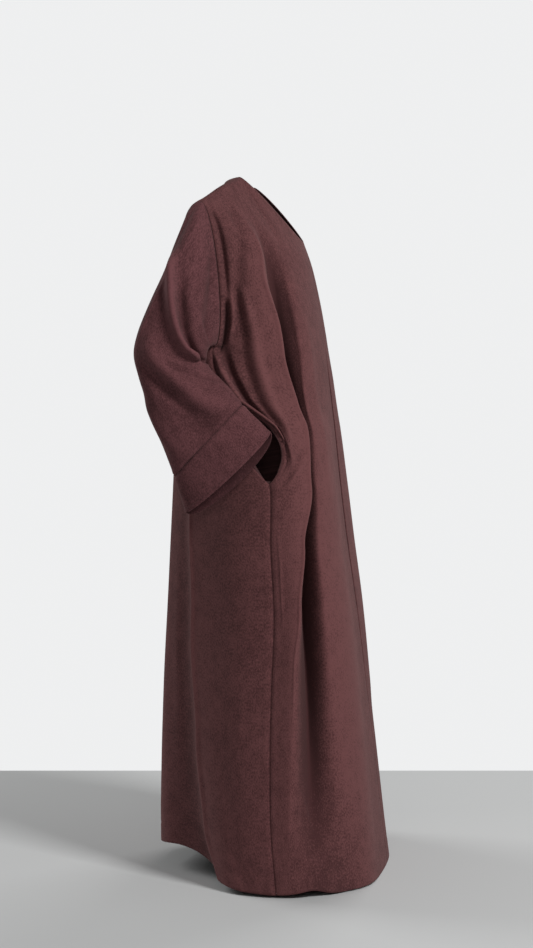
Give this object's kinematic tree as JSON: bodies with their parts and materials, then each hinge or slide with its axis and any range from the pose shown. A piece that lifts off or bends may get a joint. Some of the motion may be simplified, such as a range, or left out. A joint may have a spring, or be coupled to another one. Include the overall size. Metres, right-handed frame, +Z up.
{
  "type": "abaya",
  "caption": "Open-front ankle-length robe with a round neck, dropped shoulders, wide sleeves bent to the side pockets and deep cuff bands.",
  "frame": {"origin": "at the wearer's nape, level with the neck ends of the shoulder seams, where the shoulders hold the garment up", "axes": "+Z up, -Y toward the garment's front, -X toward the wearer's right"},
  "size_m": [0.6277, 0.4357, 1.3252],
  "materials": {
    "cloth": "matt brushed suedette, maroon brown",
    "pocket_cloth": "matt brushed suedette, maroon brown"
  },
  "bodies": {
    "root": {"back": "cloth", "front_right": "cloth", "front_left": "cloth", "sleeve_right": "cloth", "sleeve_left": "cloth", "cuff_right": "cloth", "cuff_left": "cloth", "pocket_right": "pocket_cloth", "pocket_left": "pocket_cloth"}
  },
  "joints": []
}
